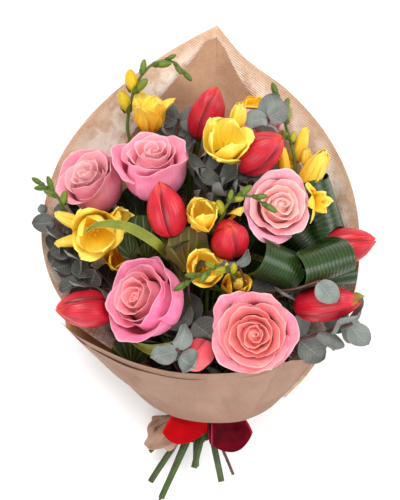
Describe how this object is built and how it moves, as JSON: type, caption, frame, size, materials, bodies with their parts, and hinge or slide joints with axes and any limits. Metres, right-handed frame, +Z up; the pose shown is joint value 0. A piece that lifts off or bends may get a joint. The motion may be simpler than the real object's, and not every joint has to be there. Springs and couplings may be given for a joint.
{
  "type": "wrapped flower bouquet",
  "caption": "Hand-tied bouquet of roses, tulips and freesias with mixed foliage in a kraft-paper wrap with a satin ribbon, lying on its back.",
  "frame": {"origin": "on the table, on the flat spot in the back of the wrap that the bouquet rests on, under its middle", "axes": "+Y from the cut stems to the peak of the wrap, +Z up from the table to the side that shows the flowers, +X to the right as seen from above with the peak away from the viewer"},
  "size_m": [0.2891, 0.4136, 0.1425],
  "materials": {
    "rose_coral": "velvety coral-pink rose petal, paler at the rims",
    "rose_pink": "velvety rose-pink petal",
    "rose_pale": "velvety pale peach-pink petal",
    "rose_dusty": "velvety dusty-pink petal",
    "tulip_red": "satiny red tulip petal",
    "tulip_coral": "satiny coral tulip petal",
    "freesia": "waxy yellow petal on a green stalk",
    "rose_stem": "matt grey-green stem, calyx and leaves",
    "tulip_stem": "smooth light green stem and leaf",
    "eucalyptus": "matt grey-green leaf with a waxy bloom",
    "aspidistra": "glossy dark green leaf with fine veins",
    "galax": "satin olive-green leaf",
    "kraft_striped": "brown kraft paper with fine pale stripes",
    "kraft_plain": "plain brown kraft paper",
    "twine": "matt natural twine",
    "ribbon_red": "red satin ribbon",
    "ribbon_crimson": "dark crimson satin ribbon"
  },
  "bodies": {
    "root": {"rose_front": "rose_coral", "rose_front_stem": "rose_stem", "rose_left": "rose_pink", "rose_left_stem": "rose_stem", "rose_right": "rose_pale", "rose_right_stem": "rose_stem", "rose_top": "rose_pink", "rose_top_stem": "rose_stem", "rose_far_left": "rose_dusty", "rose_far_left_stem": "rose_stem", "rose_back": "rose_dusty", "rose_back_stem": "rose_stem", "tulip_bottom": "tulip_coral", "tulip_bottom_stem": "tulip_stem", "tulip_heart": "tulip_red", "tulip_heart_stem": "tulip_stem", "tulip_centre": "tulip_red", "tulip_centre_stem": "tulip_stem", "tulip_upper_right": "tulip_red", "tulip_upper_right_stem": "tulip_stem", "tulip_lower_left": "tulip_red", "tulip_lower_left_stem": "tulip_stem", "tulip_lower_right": "tulip_red", "tulip_lower_right_stem": "tulip_stem", "tulip_right": "tulip_red", "tulip_right_stem": "tulip_stem", "tulip_top": "tulip_red", "tulip_top_stem": "tulip_stem", "freesia_heart": "freesia", "freesia_crown": "freesia", "freesia_lower": "freesia", "freesia_left": "freesia", "freesia_right": "freesia", "freesia_top_left": "freesia", "freesia_inner_left": "freesia", "freesia_inner_right": "freesia", "freesia_back": "freesia", "eucalyptus_upper_right": "eucalyptus", "eucalyptus_lower_right": "eucalyptus", "eucalyptus_bottom": "eucalyptus", "eucalyptus_left": "eucalyptus", "eucalyptus_top": "eucalyptus", "eucalyptus_low_right": "eucalyptus", "aspidistra_inner": "aspidistra", "aspidistra_outer": "aspidistra", "aspidistra_back": "aspidistra", "galax_olive": "galax", "galax_green": "galax", "galax_low": "galax", "back_sheet": "kraft_striped", "back_lining": "kraft_plain", "front_cuff": "kraft_plain", "cuff_fold": "kraft_plain", "stem_twine": "twine", "ribbon_bow": "ribbon_red", "ribbon_back_loop": "ribbon_crimson"}
  },
  "joints": []
}
